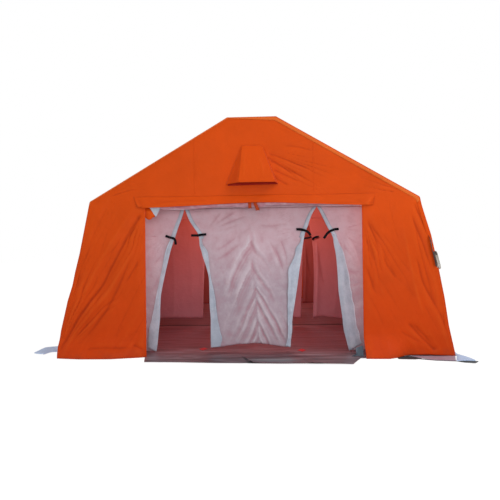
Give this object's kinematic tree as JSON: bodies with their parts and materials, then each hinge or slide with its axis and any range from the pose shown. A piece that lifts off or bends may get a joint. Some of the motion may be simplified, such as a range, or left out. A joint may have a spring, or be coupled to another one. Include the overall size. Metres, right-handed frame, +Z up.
{
  "type": "decontamination tent",
  "caption": "Orange frame tent with a flat-topped pitched roof, a wide rolled-up door and inner curtains that part it into changing and shower rooms in two lanes.",
  "frame": {"origin": "on the ground at the middle of the tent, half way between the doors", "axes": "+X to the right seen from the front door, +Y from the front door to the rear, +Z up"},
  "size_m": [6.3, 8.26, 3.22],
  "materials": {
    "orange_cloth": "orange PU-coated polyester cloth, loosely hung",
    "curtain_cloth": "thin white translucent cloth, pink from the skin's light",
    "folded_cloth": "white cloth in two layers, bluish",
    "grey_groundsheet": "grey coated groundsheet, scuffed",
    "pale_skirt": "pale coated cloth, thin",
    "aluminium_tube": "extruded, satin",
    "stainless_steel": "brushed",
    "shower_plastic": "moulded dark grey",
    "red_lever": "dipped red coating",
    "dark_webbing": "woven webbing, dark brown",
    "guy_rope": "laid rope, off-white"
  },
  "bodies": {
    "tent": {"roof_cover": "orange_cloth", "side_wall_left": "orange_cloth", "side_wall_right": "orange_cloth", "front_gable": "orange_cloth", "front_panel_left": "orange_cloth", "front_panel_right": "orange_cloth", "rear_wall": "orange_cloth", "front_door_roll": "orange_cloth", "groundsheet": "grey_groundsheet", "skirt_left": "pale_skirt", "skirt_right": "pale_skirt", "leg_left_1": "aluminium_tube", "rafter_left_1": "aluminium_tube", "leg_right_1": "aluminium_tube", "rafter_right_1": "aluminium_tube", "ridge_bar_1": "aluminium_tube", "leg_left_2": "aluminium_tube", "rafter_left_2": "aluminium_tube", "leg_right_2": "aluminium_tube", "rafter_right_2": "aluminium_tube", "ridge_bar_2": "aluminium_tube", "leg_left_3": "aluminium_tube", "rafter_left_3": "aluminium_tube", "leg_right_3": "aluminium_tube", "rafter_right_3": "aluminium_tube", "ridge_bar_3": "aluminium_tube", "leg_left_4": "aluminium_tube", "rafter_left_4": "aluminium_tube", "leg_right_4": "aluminium_tube", "rafter_right_4": "aluminium_tube", "ridge_bar_4": "aluminium_tube", "purlin_eave_left": "aluminium_tube", "purlin_eave_right": "aluminium_tube", "purlin_ridge": "aluminium_tube", "partition_1_head": "curtain_cloth", "partition_2_head": "curtain_cloth", "partition_3_head": "curtain_cloth", "shower_stand": "stainless_steel", "guy_strap": "dark_webbing", "guy_hank": "guy_rope"},
    "partition_1_curtain_left": {"partition_1_curtain_left": "curtain_cloth"},
    "partition_1_curtain_centre": {"partition_1_curtain_centre": "curtain_cloth"},
    "partition_1_curtain_right": {"partition_1_curtain_right": "curtain_cloth"},
    "partition_2_curtain_left": {"partition_2_curtain_left": "curtain_cloth"},
    "partition_2_curtain_centre": {"partition_2_curtain_centre": "curtain_cloth"},
    "partition_2_curtain_right": {"partition_2_curtain_right": "curtain_cloth"},
    "partition_3_curtain_left": {"partition_3_curtain_left": "curtain_cloth"},
    "partition_3_curtain_centre": {"partition_3_curtain_centre": "curtain_cloth"},
    "partition_3_curtain_right": {"partition_3_curtain_right": "curtain_cloth"},
    "leaf_left_outer": {"leaf_left_outer": "folded_cloth"},
    "leaf_left_inner": {"leaf_left_inner": "folded_cloth"},
    "leaf_right_outer": {"leaf_right_outer": "folded_cloth"},
    "leaf_right_inner": {"leaf_right_inner": "folded_cloth"},
    "vent_hood_front": {"vent_hood_front": "orange_cloth"},
    "vent_hood_rear": {"vent_hood_rear": "orange_cloth"},
    "door_head_flap": {"door_head_flap": "orange_cloth"},
    "rear_door": {"rear_door": "orange_cloth"},
    "shower_head_left": {"shower_head_left": "shower_plastic"},
    "shower_head_right": {"shower_head_right": "shower_plastic"},
    "shower_valve_lever": {"shower_valve_lever": "red_lever"}
  },
  "joints": [
    {"name": "partition_1_curtain_left_swing", "type": "hinge", "parent": "tent", "child": "partition_1_curtain_left", "pos_m": [0, -3.448, 2.03], "axis": [1, 0, 0], "range_deg": [-7, 25]},
    {"name": "partition_1_curtain_centre_swing", "type": "hinge", "parent": "tent", "child": "partition_1_curtain_centre", "pos_m": [0, -3.448, 2.03], "axis": [1, 0, 0], "range_deg": [-7, 25]},
    {"name": "partition_1_curtain_right_swing", "type": "hinge", "parent": "tent", "child": "partition_1_curtain_right", "pos_m": [0, -3.448, 2.03], "axis": [1, 0, 0], "range_deg": [-7, 25]},
    {"name": "partition_2_curtain_left_swing", "type": "hinge", "parent": "tent", "child": "partition_2_curtain_left", "pos_m": [0, -1.2905, 2.03], "axis": [1, 0, 0], "range_deg": [-25, 25]},
    {"name": "partition_2_curtain_centre_swing", "type": "hinge", "parent": "tent", "child": "partition_2_curtain_centre", "pos_m": [0, -1.2905, 2.03], "axis": [1, 0, 0], "range_deg": [-25, 25]},
    {"name": "partition_2_curtain_right_swing", "type": "hinge", "parent": "tent", "child": "partition_2_curtain_right", "pos_m": [0, -1.2905, 2.03], "axis": [1, 0, 0], "range_deg": [-25, 25]},
    {"name": "partition_3_curtain_left_swing", "type": "hinge", "parent": "tent", "child": "partition_3_curtain_left", "pos_m": [0, 1.2095, 2.03], "axis": [1, 0, 0], "range_deg": [-25, 25]},
    {"name": "partition_3_curtain_centre_swing", "type": "hinge", "parent": "tent", "child": "partition_3_curtain_centre", "pos_m": [0, 1.2095, 2.03], "axis": [1, 0, 0], "range_deg": [-25, 25]},
    {"name": "partition_3_curtain_right_swing", "type": "hinge", "parent": "tent", "child": "partition_3_curtain_right", "pos_m": [0, 1.2095, 2.03], "axis": [1, 0, 0], "range_deg": [-25, 25]},
    {"name": "leaf_left_outer_fold", "type": "hinge", "parent": "partition_1_curtain_left", "child": "leaf_left_outer", "pos_m": [-1.1725, -3.451, 1.62], "axis": [0.124, 0, 0.9923], "range_deg": [0, 170]},
    {"name": "leaf_left_inner_fold", "type": "hinge", "parent": "partition_1_curtain_centre", "child": "leaf_left_inner", "pos_m": [-0.7675, -3.451, 1.62], "axis": [0.124, 0, -0.9923], "range_deg": [0, 170]},
    {"name": "leaf_right_outer_fold", "type": "hinge", "parent": "partition_1_curtain_right", "child": "leaf_right_outer", "pos_m": [1.0925, -3.451, 1.62], "axis": [0.124, 0, -0.9923], "range_deg": [0, 170]},
    {"name": "leaf_right_inner_fold", "type": "hinge", "parent": "partition_1_curtain_centre", "child": "leaf_right_inner", "pos_m": [0.6875, -3.451, 1.62], "axis": [0.124, 0, 0.9923], "range_deg": [0, 170]},
    {"name": "vent_hood_front_close", "type": "hinge", "parent": "tent", "child": "vent_hood_front", "pos_m": [0, -3.752, 2.83], "axis": [1, 0, 0], "range_deg": [0, 15.5]},
    {"name": "vent_hood_rear_close", "type": "hinge", "parent": "tent", "child": "vent_hood_rear", "pos_m": [0, 3.752, 2.83], "axis": [-1, 0, 0], "range_deg": [0, 15.5]},
    {"name": "door_head_flap_lift", "type": "hinge", "parent": "tent", "child": "door_head_flap", "pos_m": [0, -3.752, 2.15], "axis": [-1, 0, 0], "range_deg": [0, 100]},
    {"name": "rear_door_lift", "type": "hinge", "parent": "tent", "child": "rear_door", "pos_m": [0, 3.75, 2.1], "axis": [1, 0, 0], "range_deg": [0, 85]},
    {"name": "shower_head_left_tilt", "type": "hinge", "parent": "tent", "child": "shower_head_left", "pos_m": [-0.93, 0, 2.12], "axis": [1, 0, 0], "range_deg": [-45, 45]},
    {"name": "shower_head_right_tilt", "type": "hinge", "parent": "tent", "child": "shower_head_right", "pos_m": [0.93, 0, 2.12], "axis": [1, 0, 0], "range_deg": [-45, 45]},
    {"name": "shower_valve_turn", "type": "hinge", "parent": "tent", "child": "shower_valve_lever", "pos_m": [0, -0.0645, 1.1], "axis": [0, -1, 0], "range_deg": [0, 90]}
  ]
}
